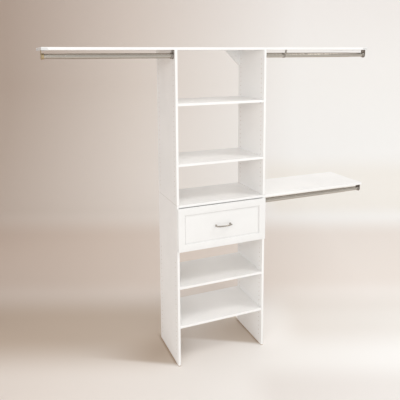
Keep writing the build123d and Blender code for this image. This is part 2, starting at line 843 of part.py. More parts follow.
def foot_screw_planes(side):
    """The screws through a drawer runner's foot, seated below it."""
    x = side * (x_box - half_side)
    z = box_bottom - runner_sheet
    return [Plane(origin=(x, y_box_front + dy, z), z_dir=(0, 0, -1)) for dy in foot_screw_places]


for side_name, side in sides.items():
    drawer_side(f"drawer_{side_name}_side", side)

back_bottom = groove_z + groove_play + drawer_bottom_thickness
with BuildPart() as drawer_back:
    y_low = y_box_rear - drawer_side_thickness
    block(-half_inside, half_inside, y_low, y_box_rear, back_bottom, box_bottom + drawer_side_height)
    for side in sides.values():
        for seat in back_screw_planes(side):
            cut_screw_hole(seat, drawer_side_thickness, back_screw_length)
save(drawer_back, "drawer_back")

with BuildPart() as drawer_bottom:
    half_width = half_inside + groove_depth - groove_play
    y_low = y_box_front - groove_depth + groove_play
    block(-half_width, half_width, y_low, y_box_rear, groove_z + groove_play, back_bottom)
save(drawer_bottom, "drawer_bottom")

with BuildPart() as drawer_cam_locks:
    for joint in drawer_joints():
        add_cam(joint, half_side, small_cam_distance, small_cam_radius, small_cam_height)
save(drawer_cam_locks, "drawer_cam_locks")

with BuildPart() as drawer_cam_bolts:
    for joint in drawer_joints():
        add_bolt(joint, small_cam_distance)
save(drawer_cam_bolts, "drawer_cam_bolts")

with BuildPart() as drawer_back_screws:
    for side in sides.values():
        for seat in back_screw_planes(side):
            add_screw(seat, back_screw_length)
save(drawer_back_screws, "drawer_back_screws")

# Bow pull in the recess: a curved bar on two posts with round feet
half_bar = pull_spacing / 2 + pull_overhang
bow_radius = (half_bar**2 + pull_bow_rise**2) / (2 * pull_bow_rise)
y_bow = y_recess - pull_projection
with BuildPart() as drawer_pull:
    with BuildSketch(Plane.XY.offset(pull_z - pull_bar_width / 2)):
        with Locations((0, y_bow + bow_radius)):
            Circle(bow_radius)
            Circle(bow_radius - pull_bar_thickness, mode=Mode.SUBTRACT)
        with Locations((0, y_bow + pull_bow_rise)):
            Rectangle(2 * half_bar, 2 * pull_bow_rise, mode=Mode.INTERSECT)
    extrude(amount=pull_bar_width)
    fillet(drawer_pull.edges(), pull_edge_round)
    for x in pull_posts:
        seat = Plane(origin=(x, y_recess, pull_z), z_dir=(0, -1, 0))
        post(seat, pull_foot_radius, pull_foot_height)
        post(seat, pull_post_radius, pull_projection - pull_bow_rise)
        bore(seat, pull_screw_radius + screw_fit, pull_screw_reach + joint_hole_extra)
save(drawer_pull, "drawer_pull")

with BuildPart() as pull_screws:
    for x in pull_posts:
        inner_face = Plane(origin=(x, y_box_front, pull_z), z_dir=(0, 1, 0))
        post(inner_face, pull_screw_head_radius, pull_screw_head_height)
        head_end = Plane(origin=(x, y_box_front + pull_screw_head_height, pull_z), z_dir=(0, -1, 0))
        cross_slot(head_end, screw_slot_length, screw_slot_width, screw_slot_depth)
        shank = Plane(origin=(x, y_box_front, pull_z), z_dir=(0, -1, 0))
        post(shank, pull_screw_radius, y_box_front - y_recess + pull_screw_reach)
save(pull_screws, "pull_screws")


# Roller runners. Places across are measured inwards from a panel's inner face.
def inward(side, start, end):
    """The two X places that lie start and end inwards from the panel's inner face, in order."""
    return sorted((side * (x_inner - start), side * (x_inner - end)))


def cabinet_runner(label, side):
    """A channel on the panel, with a roller at its front."""
    y_low = y_front + runner_front_setback
    y_high = y_low + runner_length
    with BuildPart() as channel:
        block(*inward(side, 0, runner_sheet), y_low, y_high, runner_base, runner_top)
        for z_low in (runner_base, runner_top - runner_sheet):
            block(*inward(side, 0, runner_flange), y_low, y_high, z_low, z_low + runner_sheet)
        for seat in runner_screw_planes(side):
            cut_screw_hole(seat, 0, runner_sheet)
        axle_place = (side * x_inner, y_front + cabinet_roller_setback, roller_z)
        axle_hole = Plane(origin=axle_place, z_dir=(-side, 0, 0))
        bore(axle_hole, axle_radius + joint_hole_fit, runner_sheet)
    save(channel, label)


def drawer_runner(label, side):
    """A folded rail under a drawer side, with a roller at its rear."""
    y_low = y_box_front + runner_front_setback
    web_start = drawer_side_gap - runner_sheet
    foot_bottom = box_bottom - runner_sheet
    flange_top = runner_flange_z + runner_sheet
    with BuildPart() as rail:
        block(*inward(side, web_start, drawer_side_gap), y_low, y_box_rear, foot_bottom, flange_top)
        foot_end = drawer_side_gap + drawer_side_thickness
        block(*inward(side, web_start, foot_end), y_low, y_box_rear, foot_bottom, box_bottom)
        block(*inward(side, flange_edge_gap, web_start), y_low, y_box_rear, runner_flange_z, flange_top)
        for seat in foot_screw_planes(side):
            cut_screw_hole(seat, 0, runner_sheet)
        axle_place = (side * x_box, y_box_rear - drawer_roller_setback, roller_z)
        axle_hole = Plane(origin=axle_place, z_dir=(side, 0, 0))
        bore(axle_hole, axle_radius + joint_hole_fit, runner_sheet)
    save(rail, label)


def roller(label, side, start, width, y):
    """A plain roller with a bore for its axle."""
    with BuildPart() as wheel:
        with BuildSketch(Plane(origin=(side * (x_inner - start), y, roller_z), z_dir=(-side, 0, 0))):
            Circle(roller_radius)
            Circle(axle_radius + roller_bore_fit, mode=Mode.SUBTRACT)
        extrude(amount=width)
    save(wheel, label)


def add_axle(plane, reach, head):
    """A rivet-like axle from the plane, with a head beyond the roller."""
    post(plane, axle_radius, reach)
    post(Plane(origin=plane.from_local_coords((0, 0, reach)), z_dir=plane.z_dir), axle_head_radius, head)


cabinet_roller_y = y_front + cabinet_roller_setback
drawer_roller_y = y_box_rear - drawer_roller_setback
for side_name, side in sides.items():
    cabinet_runner(f"{side_name}_cabinet_runner", side)
    drawer_runner(f"{side_name}_drawer_runner", side)
    cabinet_roller = f"{side_name}_cabinet_roller"
    roller(cabinet_roller, side, cabinet_roller_start, cabinet_roller_width, cabinet_roller_y)
    roller(f"{side_name}_drawer_roller", side, drawer_roller_start, drawer_roller_width, drawer_roller_y)

with BuildPart() as cabinet_roller_axles:
    for side in sides.values():
        foot = Plane(origin=(side * x_inner, cabinet_roller_y, roller_z), z_dir=(-side, 0, 0))
        add_axle(foot, cabinet_roller_start + cabinet_roller_width + roller_side_play, cabinet_axle_head)
save(cabinet_roller_axles, "cabinet_roller_axles")

with BuildPart() as drawer_roller_axles:
    for side in sides.values():
        foot = Plane(origin=(side * x_box, drawer_roller_y, roller_z), z_dir=(side, 0, 0))
        add_axle(foot, drawer_side_gap - drawer_roller_start + roller_side_play, drawer_axle_head)
save(drawer_roller_axles, "drawer_roller_axles")

with BuildPart() as cabinet_runner_screws:
    for side in sides.values():
        for seat in runner_screw_planes(side):
            add_screw(seat, screw_length)
save(cabinet_runner_screws, "cabinet_runner_screws")

with BuildPart() as drawer_runner_screws:
    for side in sides.values():
        for seat in foot_screw_planes(side):
            add_screw(seat, short_screw_length)
save(drawer_runner_screws, "drawer_runner_screws")
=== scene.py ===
"""Dresses a wall mounted closet: laminate boards, hanging rods of brushed nickel and one drawer."""

import bmesh
import bpy
import numpy as np
from mathutils import Matrix, Vector


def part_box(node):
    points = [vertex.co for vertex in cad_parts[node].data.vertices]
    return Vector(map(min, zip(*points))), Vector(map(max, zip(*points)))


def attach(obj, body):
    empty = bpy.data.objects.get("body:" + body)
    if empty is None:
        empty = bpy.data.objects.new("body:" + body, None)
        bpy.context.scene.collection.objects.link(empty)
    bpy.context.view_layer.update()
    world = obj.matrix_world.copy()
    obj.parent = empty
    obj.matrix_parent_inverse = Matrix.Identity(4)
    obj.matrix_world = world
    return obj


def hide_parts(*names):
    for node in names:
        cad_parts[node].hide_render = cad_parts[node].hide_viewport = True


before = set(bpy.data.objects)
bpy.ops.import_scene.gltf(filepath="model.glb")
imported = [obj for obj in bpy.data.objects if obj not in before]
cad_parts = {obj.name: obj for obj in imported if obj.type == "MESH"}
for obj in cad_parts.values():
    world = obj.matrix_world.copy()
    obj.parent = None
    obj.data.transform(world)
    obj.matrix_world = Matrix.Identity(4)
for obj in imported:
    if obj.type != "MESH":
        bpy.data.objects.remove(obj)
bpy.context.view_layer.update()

# Camera
# The closet was pictured from its left, from just under the top shelf's height and looking a
# little down, with the frame moved further down. The values were fitted to the boards' edges.
camera_place = (-1.3549, -2.9893, 2.0438)
camera_yaw, camera_pitch, camera_roll = 0.39295, 0.13507, -0.00541
forward = np.array([
    np.sin(camera_yaw) * np.cos(camera_pitch),
    np.cos(camera_yaw) * np.cos(camera_pitch),
    -np.sin(camera_pitch),
])
level_right = np.array([np.cos(camera_yaw), -np.sin(camera_yaw), 0.0])
level_up = np.cross(level_right, forward)
camera_right = level_right * np.cos(camera_roll) + level_up * np.sin(camera_roll)
camera_up = level_up * np.cos(camera_roll) - level_right * np.sin(camera_roll)
camera_data = bpy.data.cameras.new("camera")
camera_data.lens = 44.03
camera_data.sensor_width = 36.0
camera_data.shift_y = -0.195
camera_data.clip_start, camera_data.clip_end = 0.05, 60.0
camera = bpy.data.objects.new("camera", camera_data)
turn = np.eye(4)
turn[:3, 0], turn[:3, 1], turn[:3, 2], turn[:3, 3] = camera_right, camera_up, -forward, camera_place
camera.matrix_world = Matrix(turn.tolist())
bpy.context.scene.collection.objects.link(camera)
bpy.context.scene.camera = camera

# Side panels
# Four uprights of particle board faced with white melamine. The film is pressed on hot, which
# leaves a fine pebbled skin; the front edges carry a thin glued band, and the rear edges and the
# walls of the pin holes show the bare chips. Along the feet a thin band in the chips' brown is
# painted shade where the panels meet the floor.
skin_white = (0.955, 0.95, 0.94, 1.0)
skin_shade = (0.92, 0.917, 0.908, 1.0)
chip_pale = (0.58, 0.44, 0.30, 1.0)
chip_dark = (0.36, 0.25, 0.155, 1.0)
skin_pebble = 700.0
skin_pebble_depth = 0.00004
skin_cloud = 5.0
cloud_low, cloud_high = 0.35, 0.65
skin_roughness, pebble_roughness, cloud_roughness, band_sheen = 0.30, 0.12, 0.10, 0.05
chip_scale, chip_stretch = 260.0, (1.0, 1.0, 2.2)
chip_grain, chip_relief, chip_roughness = 520.0, 4.0, 0.45
front_plane = -0.1626
band_thickness = 0.0005
glue_line, glue_share, glue_tone = 0.00016, 0.35, (0.55, 0.52, 0.47, 1.0)
seam_height, seam_reach, seam_share, seam_tone = 1.099, 0.0011, 0.6, (0.42, 0.37, 0.31, 1.0)
# Height of the painted shade in the chips' brown along the feet, where the panels meet the floor
painted_foot_shade_height = 0.0035
rear_start, rear_facing = 0.2, 0.7
hole_pitch = 0.032
hole_radius, hole_rim = 0.0025, 0.00006
column_places = (-0.1256, 0.171)
column_margin = 0.01


class Reading:
    """A shader socket that can stand in a sum: each operator adds the Math node that works it out."""

    def __init__(self, finish, link):
        self.finish, self.link = finish, link

    def worked(self, operation, *values):
        """The reading of a new Math node that works on these values."""
        return self.finish.node("ShaderNodeMath", {"operation": operation}, dict(enumerate(values)))

    def __add__(self, other):
        return self.worked("ADD", self, other)

    def __sub__(self, other):
        return self.worked("SUBTRACT", self, other)

    def __rsub__(self, other):
        return self.worked("SUBTRACT", other, self)

    def __mul__(self, other):
        return self.worked("MULTIPLY", self, other)

    def __truediv__(self, other):
        return self.worked("DIVIDE", self, other)

    def __rtruediv__(self, other):
        return self.worked("DIVIDE", other, self)

    def __abs__(self):
        return self.worked("ABSOLUTE", self)

    def __lt__(self, other):
        return self.worked("LESS_THAN", self, other)

    def __gt__(self, other):
        return self.worked("GREATER_THAN", self, other)

    __radd__, __rmul__ = __add__, __mul__


class Finish:
    """One material. Constants go straight on the shader's sockets; the rest comes from node()."""

    def __init__(self, name, **constants):
        self.material = bpy.data.materials.new(name)
        self.material.use_nodes = True
        self.tree = self.material.node_tree
        self.shader = self.tree.nodes["Principled BSDF"]
        for socket, value in constants.items():
            self.shader.inputs[socket.replace("_", " ")].default_value = value
        self.place = self.node("ShaderNodeTexCoord", output="Object")
        self.x, self.y, self.z = self.node("ShaderNodeSeparateXYZ", {}, {0: self.place}, "XYZ")

    def node(self, kind, settings=None, inputs=None, output=0):
        """Adds a node: its settings first, then its inputs. Gives one output, or a list for XYZ."""
        made = self.tree.nodes.new(kind)
        for key, value in (settings or {}).items():
            if key == "stops":
                for n, (position, colour) in enumerate(value):
                    stop = made.color_ramp.elements[n] if n < 2 else made.color_ramp.elements.new(position)
                    stop.position, stop.color = position, colour
            else:
                setattr(made, key, value)
        for key, value in (inputs or {}).items():
            if isinstance(value, Reading):
                self.tree.links.new(value.link, made.inputs[key])
            else:
                made.inputs[key].default_value = value
        if output == "XYZ":
            return [Reading(self, made.outputs[axis]) for axis in output]
        return Reading(self, made.outputs[output])

    def stretched(self, x, y, z):
        """The place with each axis multiplied, so that a pattern is drawn out along the small ones."""
        return self.node("ShaderNodeVectorMath", {"operation": "MULTIPLY"}, {0: self.place, 1: (x, y, z)})

    def along(self, way):
        """How far the place lies along a direction, in metres."""
        inputs = {0: self.place, 1: tuple(way)}
        return self.node("ShaderNodeVectorMath", {"operation": "DOT_PRODUCT"}, inputs, "Value")

    def noise(self, scale, place=None, detail=3.0):
        """Smooth noise from 0 to 1."""
        inputs = {"Vector": place or self.place, "Scale": scale, "Detail": detail}
        return self.node("ShaderNodeTexNoise", {}, inputs, "Fac")

    def between(self, share, first, second, blend="MIX"):
        """The first colour where share is 0, and where it is 1 the second, or the two blended."""
        settings, inputs = {"data_type": "RGBA", "blend_type": blend}, {0: share, 6: first, 7: second}
        return self.node("ShaderNodeMix", settings, inputs, 2)

    def spread(self, value, low, high, to_low=0.0, to_high=1.0):
        """A value eased from low..high to another range, and held at its ends."""
        inputs = {0: value, 1: low, 2: high, 3: to_low, 4: to_high}
        return self.node("ShaderNodeMapRange", {"interpolation_type": "SMOOTHSTEP"}, inputs)

    def feed(self, socket, value):
        """Links a reading to one of the shader's sockets."""
        self.tree.links.new(value.link, self.shader.inputs[socket])

    def raise_by(self, height, distance):
        """Bumps the surface by this height, from 0 to 1, times a distance in metres."""
        inputs = {"Strength": 1.0, "Distance": distance, "Height": height}
        self.feed("Normal", self.node("ShaderNodeBump", {}, inputs, "Normal"))


def laminate(name, rear_is_bare, column_starts=()):
    """White melamine on particle board, with pin holes where column_starts gives their heights."""
    skin = Finish(name, Specular_IOR_Level=0.45)
    pebble = skin.noise(skin_pebble, detail=2.0)
    cloud = skin.noise(skin_cloud, detail=4.0)
    glue = abs(skin.y - (front_plane + band_thickness)) < glue_line
    band = skin.y < front_plane + band_thickness
    white = skin.between(skin.spread(cloud, cloud_low, cloud_high), skin_white, skin_shade)
    white = skin.between(glue * glue_share, white, glue_tone)
    if column_starts:
        seam = abs(skin.z - seam_height) < seam_reach
        white = skin.between(seam * seam_share, white, seam_tone)
    # Painted shade: the lowest few millimetres of each board take the chips' brown where they meet the
    # floor; the rear edges and pin holes added below are real bare chips
    bare_chips_and_foot_shade = skin.z < painted_foot_shade_height
    if rear_is_bare:
        normal = skin.node("ShaderNodeNewGeometry", output="Normal")
        normal_y = skin.node("ShaderNodeSeparateXYZ", {}, {0: normal}, "XYZ")[1]
        bare_chips_and_foot_shade = bare_chips_and_foot_shade + (normal_y > rear_facing) * (skin.y > rear_start)
    for start, end in column_starts:
        climb = (skin.z - start) / hole_pitch
        height = abs(climb - skin.node("ShaderNodeMath", {"operation": "ROUND"}, {0: climb})) * hole_pitch
        for column in column_places:
            across = abs(skin.y - column)
            reach = height * height + across * across
            inside = reach < (hole_radius + hole_rim) ** 2
            bare_chips_and_foot_shade = bare_chips_and_foot_shade + inside * (skin.z > start - column_margin) * (skin.z < end + column_margin)
    chips = skin.node(
        "ShaderNodeTexVoronoi", {}, {"Vector": skin.stretched(*chip_stretch), "Scale": chip_scale}, "Color"
    )
    wood = skin.node(
        "ShaderNodeValToRGB", {"stops": [(0.0, chip_dark), (1.0, chip_pale)]},
        {0: skin.node("ShaderNodeSeparateColor", {}, {0: chips}, "Red")},
    )
    bare_chips_and_foot_shade = skin.spread(bare_chips_and_foot_shade, 0.0, 1.0)
    skin.feed("Base Color", skin.between(bare_chips_and_foot_shade, white, wood))
    rough = skin_roughness + pebble_roughness * pebble + cloud_roughness * cloud - band_sheen * band
    skin.feed("Roughness", rough + chip_roughness * bare_chips_and_foot_shade)
    skin.raise_by(pebble + chip_relief * bare_chips_and_foot_shade * skin.noise(chip_grain), skin_pebble_depth)
    return skin.material


def dress(material, *names):
    """Gives CAD nodes a material."""
    for name in names:
        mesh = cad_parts[name].data
        mesh.materials.clear()
        mesh.materials.append(material)


lower_column, upper_column = (0.0688, 0.7088), (1.155, 2.019)
drilled_skin = laminate("drilled_panel_laminate", True, (lower_column, upper_column))
panel_names = [f"{length}_{side}_panel" for length in ("lower", "upper") for side in ("left", "right")]
dress(drilled_skin, *panel_names)

# Boards and shelves
# The fixed boards, the loose shelves and the side shelves are cut from the same white board,
# banded along the front, with the bare cut edge turned to the wall.
board_skin = laminate("shelf_laminate", True)
dress(
    board_skin, "fixed_lower_shelf", "fixed_mid_shelf", "tower_top_board", "lower_adjustable_shelf",
    "middle_adjustable_shelf", "upper_adjustable_shelf", "left_top_shelf", "right_top_shelf",
    "lower_right_side_shelf", "left_gusset", "right_gusset",
)

# Cams, bolts, dowels and pins
# The joints' ironware: die-cast cams with a grainy skin, bright zinc bolts, screws and shelf pins,
# and plain beech dowels, which only show where a board is taken off.
zinc_bright = (0.60, 0.61, 0.62, 1.0)
zinc_shade = (0.50, 0.515, 0.535, 1.0)
zinc_spangle, zinc_grain, spangle_roughness = 420.0, 2100.0, 0.12
beech_pale = (0.70, 0.52, 0.34, 1.0)
beech_dark = (0.55, 0.38, 0.23, 1.0)
beech_scale, beech_stretch, beech_relief = 160.0, (0.08, 1.0, 1.0), 0.0001


def zinc(name, roughness, grain_depth):
    """Zinc: a metal whose grey drifts in small spangles."""
    coat = Finish(name, Metallic=1.0)
    spangle = coat.noise(zinc_spangle, detail=3.0)
    coat.feed("Base Color", coat.between(spangle, zinc_shade, zinc_bright))
    coat.feed("Roughness", roughness + spangle_roughness * spangle)
    coat.raise_by(coat.noise(zinc_grain), grain_depth)
    return coat.material


dress(zinc("cast_zinc", 0.42, 0.00006), "cam_locks", "drawer_cam_locks")
dress(
    zinc("plated_zinc", 0.24, 0.00001), "cam_bolts", "drawer_cam_bolts", "stacking_pins", "shelf_pins",
    "rod_bracket_screws", "underside_screws", "drawer_back_screws", "pull_screws",
    "cabinet_runner_screws", "drawer_runner_screws", "cabinet_roller_axles", "drawer_roller_axles",
)
beech = Finish("beech", Roughness=0.62)
grain = beech.noise(beech_scale, beech.stretched(*beech_stretch), detail=4.0)
beech.feed("Base Color", beech.between(grain, beech_dark, beech_pale))
beech.raise_by(grain, beech_relief)
dress(beech.material, "dowels")

# Hanging rods
# Each rod is two steel tubes in satin brushed nickel: the inner tube slides in the outer one, whose
# mouth is rolled inwards to meet it. The brushing runs along the tubes.
tube_tones = (0.42, 0.385, 0.34, 1.0), (0.55, 0.51, 0.46, 1.0)
brush_stretch = (14.0, 1400.0, 1400.0)
brush_depth = 0.000005
tube_roughness, scratch_roughness = 0.2, 0.10
scratch_share, drift_share, drift_scale = 0.65, 0.35, 9.0
rod_facets, rod_end_steps = 72, 9
rolled_reach = 0.0028
plain_reach = 0.0006
tube_wall = 0.00115


def joined(grid, wrap_rows=False, wrap_columns=False):
    """The four-cornered faces between neighbouring points of a grid of places."""
    rows, columns = grid.shape[:2]
    index = np.arange(rows * columns).reshape(rows, columns)
    if wrap_rows:
        index = np.vstack([index, index[:1]])
    if wrap_columns:
        index = np.hstack([index, index[:, :1]])
    corners = index[:-1, :-1], index[1:, :-1], index[1:, 1:], index[:-1, 1:]
    return np.stack(corners, -1).reshape(-1, 4).tolist()


def piece(name, points, faces, material, crease=0.6):
    """A mesh object from points and faces, with doubled points merged and faces turned outwards."""
    mesh = bpy.data.meshes.new(name)
    mesh.from_pydata(points.reshape(-1, 3).tolist(), [], faces)
    shell = bmesh.new()
    shell.from_mesh(mesh)
    bmesh.ops.remove_doubles(shell, verts=shell.verts, dist=1e-6)
    bmesh.ops.recalc_face_normals(shell, faces=shell.faces)
    shell.to_mesh(mesh)
    shell.free()
    mesh.shade_smooth()
    mesh.set_sharp_from_angle(angle=crease)
    mesh.materials.append(material)
    made = bpy.data.objects.new(name, mesh)
    bpy.context.scene.collection.objects.link(made)
    return made


def tube_surface(start, end, radius, wall, middle, start_reach, end_reach):
    """A tube along X from start to end. Its outer profile falls at each end by a quarter ellipse,
    r = R - w + w sqrt(1 - (d / reach)^2), and the bore is straight; turned round the axis."""
    fall = np.linspace(0.0, np.pi / 2, rod_end_steps)
    end_x, end_r = end - end_reach + end_reach * np.sin(fall), radius - wall + wall * np.cos(fall)
    start_x, start_r = start + start_reach - start_reach * np.sin(fall), end_r
    x = np.concatenate([start_x[::-1], end_x])
    r = np.concatenate([start_r[::-1], end_r])
    angle = np.linspace(0.0, 2 * np.pi, rod_facets, endpoint=False)
    return np.stack(np.broadcast_arrays(
        x[:, None], middle[1] + r[:, None] * np.cos(angle), middle[2] + r[:, None] * np.sin(angle)
    ), -1)


def nickel(name, tones, stretch, roughness):
    """Brushed metal: fine scratches drawn out along one way, over a faint drift between two tones."""
    metal = Finish(name, Metallic=1.0)
    scratch = metal.noise(1.0, metal.stretched(*stretch), detail=2.0)
    drift = metal.noise(drift_scale, detail=2.0)
    metal.feed("Base Color", metal.between(scratch_share * scratch + drift_share * drift, *tones))
    metal.feed("Roughness", roughness + scratch_roughness * scratch)
    metal.raise_by(scratch, brush_depth)
    return metal.material


rod_nickel = nickel("brushed_nickel_tube", tube_tones, brush_stretch, tube_roughness)
rod_sides = {"left": -1, "right": 1, "lower": 1}
for rod_name, side in rod_sides.items():
    for tube_name, body, mouth in (
        ("outer", "tower", rolled_reach), ("inner", f"{rod_name}_rod_inner", plain_reach)
    ):
        node = f"{rod_name}_rod_{tube_name}_tube"
        tube_low, tube_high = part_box(node)
        ends = (plain_reach, mouth) if side > 0 else (mouth, plain_reach)
        radius = (tube_high.z - tube_low.z) / 2
        surface = tube_surface(
            tube_low.x, tube_high.x, radius, tube_wall, (tube_low + tube_high) / 2, *ends
        )
        tube = piece(f"{node}_dressed", surface, joined(surface, True, True), rod_nickel)
        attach(tube, body)
        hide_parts(node)

# Rod brackets, strap and end trays
# Pressed plates with a welded cup carry the rods, brushed upright; a bent strap holds up the long
# top rod. The trays at the outer ends of the top shelves are folded sheet in pale enamel.
plate_tones = (0.29, 0.26, 0.235, 1.0), (0.43, 0.40, 0.365, 1.0)
passivated_tones = (0.42, 0.33, 0.20, 1.0), (0.54, 0.43, 0.26, 1.0)
plate_stretch, plate_roughness = (1300.0, 1300.0, 30.0), 0.34
enamel_grey = (0.69, 0.69, 0.685, 1.0), (0.73, 0.73, 0.725, 1.0)
enamel_drift, enamel_ripple, enamel_ripple_depth = 14.0, 260.0, 0.00003
enamel_roughness, enamel_ripple_roughness = 0.32, 0.14
plate_nickel = nickel("brushed_nickel_plate", plate_tones, plate_stretch, plate_roughness)
dress(
    plate_nickel, "rod_support_strap", "left_rod_tower_bracket",
    *[f"{rod}_rod_{end}_bracket" for rod in ("right", "lower") for end in ("tower", "wall")],
)
passivated = nickel("passivated_plate", passivated_tones, plate_stretch, plate_roughness)
dress(passivated, "left_rod_wall_bracket")


def enamel(name, tones):
    """Baked enamel: a smooth paint with a slow ripple and a faint drift of tone."""
    paint = Finish(name, Specular_IOR_Level=0.5, Coat_Weight=0.15, Coat_Roughness=0.2)
    ripple = paint.noise(enamel_ripple, detail=2.0)
    paint.feed("Base Color", paint.between(paint.noise(enamel_drift), *tones))
    paint.feed("Roughness", enamel_roughness + enamel_ripple_roughness * ripple)
    paint.raise_by(ripple, enamel_ripple_depth)
    return paint.material


dress(enamel("tray_enamel", enamel_grey), "left_end_tray", "right_end_tray")

# Drawer front
# A board pressed with white film, routed to leave a flat frame round a sunk panel. The router
# rounds the outer edge and leaves a steep step with a groove at its foot inside the frame.
front_low, front_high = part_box("drawer_front")
front_thickness = front_high.y - front_low.y
outer_round, outer_steps = 0.0012, 7
rear_bevel = 0.0005
corner_round, corner_loss, corner_turn = 0.0012, 0.0008, 5
# Across from the outer edge and down from the face, in mm, from the frame's inner edge to the panel
step_profile = np.array([
    (44.6, 0.0), (44.9, 0.08), (45.2, 0.4), (45.4, 1.0), (46.0, 9.2), (46.3, 10.4), (47.0, 11.0),
    (48.0, 10.8), (50.0, 9.4), (53.0, 7.2), (55.5, 6.25), (58.0, 6.0)
]) / 1000.0
step_corner = 0.0007
film_shade = (0.865, 0.862, 0.852, 1.0)
film_white = (0.88, 0.877, 0.868, 1.0)
film_cloud, film_swell, film_pebble, film_pebble_share = 6.0, 220.0, 900.0, 0.4
film_depth, film_roughness, swell_roughness = 0.00004, 0.30, 0.12


def framed_surface(half_width, half_height, insets, depths, corners):
    """Loops of a rounded rectangle, one for each inset d: each quarter of a loop is
    (s (W - d - r) + r cos a, t (H - d - r) + r sin a) with signs s and t and corner radius r."""
    quarter = np.repeat(np.arange(4), corner_turn)
    angle = quarter * np.pi / 2 + np.tile(np.linspace(0.0, np.pi / 2, corner_turn), 4)
    s, t = np.array([1, -1, -1, 1])[quarter], np.array([1, 1, -1, -1])[quarter]
    d, r, y = insets[:, None], corners[:, None], depths[:, None]
    x = s * (half_width - d - r) + r * np.cos(angle)
    z = t * (half_height - d - r) + r * np.sin(angle)
    return np.stack(np.broadcast_arrays(x, y, z), -1)


bend = np.linspace(0.0, np.pi / 2, outer_steps)
insets = np.concatenate([[rear_bevel], [0.0], outer_round * (1 - np.cos(bend)), step_profile[:, 0]])
depths = np.concatenate([
    [front_thickness], [front_thickness - rear_bevel], outer_round * (1 - np.sin(bend)), step_profile[:, 1]
])
corners = np.concatenate([
    [corner_round, corner_round], corner_round - corner_loss * np.sin(bend),
    np.full(len(step_profile), step_corner)
])
front_middle = (front_low + front_high) / 2
front_grid = framed_surface(
    (front_high.x - front_low.x) / 2, (front_high.z - front_low.z) / 2, insets, depths, corners
) + np.array([front_middle.x, front_low.y, front_middle.z])
front_faces = joined(front_grid, wrap_columns=True)
loop = list(range(front_grid.shape[1]))
last = [n + (front_grid.shape[0] - 1) * len(loop) for n in loop]
film = Finish("pressed_white_film", Specular_IOR_Level=0.45)
swell = film.noise(film_swell, detail=2.0)
cloud = film.spread(film.noise(film_cloud), cloud_low, cloud_high)
film.feed("Base Color", film.between(cloud, film_shade, film_white))
film.feed("Roughness", film_roughness + swell_roughness * swell)
film.raise_by(swell + film_pebble_share * film.noise(film_pebble), film_depth)
front_faces += [loop[::-1], last]
drawer_front = piece("drawer_front_dressed", front_grid, front_faces, film.material, crease=0.5)
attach(drawer_front, "drawer")
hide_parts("drawer_front")

# Drawer pull
# A cast bow in satin nickel: a slim bar that bends outwards between two turned feet and runs a
# little past them. It is screwed on from inside the drawer.
pull_low, pull_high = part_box("drawer_pull")
bow_half_length = (pull_high.x - pull_low.x) / 2
bow_rise = 0.012
bow_radius = (bow_half_length**2 + bow_rise**2) / (2 * bow_rise)
bow_steps, bow_facets = 81, 32
bar_half_width, bar_half_thickness = 0.0045, 0.003
bar_squareness, tip_power = 2.8, 16
foot_spread, foot_height = 0.051, 0.0222
foot_steps, foot_facets = 26, 40
neck_start, neck_radius, neck_flare, flare_fall = 0.001, 0.0042, 0.0033, 0.0015
# Up from the foot's base and out from its axis, in mm, round the disc that the neck stands on
disc_profile = np.array([(0.0, 0.0), (0.0, 7.1), (0.05, 7.3), (0.3, 7.5)]) / 1000.0
pull_tones = (0.34, 0.31, 0.275, 1.0), (0.46, 0.425, 0.385, 1.0)
pull_stretch, pull_roughness = (120.0, 1100.0, 1100.0), 0.18
bow_middle = np.array([(pull_low.x + pull_high.x) / 2, pull_low.y, (pull_low.z + pull_high.z) / 2])


def bow_surface():
    """The bar: its outside follows y = R - sqrt(R^2 - x^2); across it, a squarish oval
    (b |cos a|^(2/p), c |sin a|^(2/p)), which shrinks to a tip as sqrt(1 - |x/L|^n)."""
    x = bow_half_length * np.sin(np.linspace(-np.pi / 2, np.pi / 2, bow_steps))
    root = np.sqrt(bow_radius**2 - x**2)
    shrink = np.sqrt(np.clip(1 - np.abs(x / bow_half_length) ** tip_power, 0, None))
    angle = np.linspace(0, 2 * np.pi, bow_facets, endpoint=False)
    c, q = np.cos(angle), np.sin(angle)
    inward = bar_half_thickness * np.sign(c) * np.abs(c) ** (2 / bar_squareness) * shrink[:, None]
    upward = bar_half_width * np.sign(q) * np.abs(q) ** (2 / bar_squareness) * shrink[:, None]
    reach = bar_half_thickness + inward
    return np.stack([
        x[:, None] * (1 - reach / bow_radius), bow_radius - root[:, None] * (1 - reach / bow_radius), upward
    ], -1) + bow_middle


def foot_surface(x):
    """A turned foot round Y: a rounded disc, a neck whose radius at height h is
    r = R + F exp(-(h - h0) / f), for the flare F and its fall f, and a flat end."""
    rise = np.linspace(neck_start, foot_height, foot_steps)
    neck = neck_radius + neck_flare * np.exp(-(rise - neck_start) / flare_fall)
    h = np.concatenate([disc_profile[:, 0], rise, [foot_height]])
    r = np.concatenate([disc_profile[:, 1], neck, [0.0]])
    angle = np.linspace(0, 2 * np.pi, foot_facets, endpoint=False)
    return np.stack(np.broadcast_arrays(
        bow_middle[0] + x + r[:, None] * np.cos(angle), pull_high.y - h[:, None],
        bow_middle[2] + r[:, None] * np.sin(angle)
    ), -1)


parts = [bow_surface(), foot_surface(-foot_spread), foot_surface(foot_spread)]
pull_points, pull_faces = [], []
for part in parts:
    start = sum(len(points) for points in pull_points)
    pull_faces += [[n + start for n in face] for face in joined(part, wrap_columns=True)]
    pull_points.append(part.reshape(-1, 3))
pull_nickel = nickel("satin_nickel_pull", pull_tones, pull_stretch, pull_roughness)
pull = piece("drawer_pull_dressed", np.concatenate(pull_points), pull_faces, pull_nickel, crease=0.8)
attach(pull, "drawer")
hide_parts("drawer_pull")

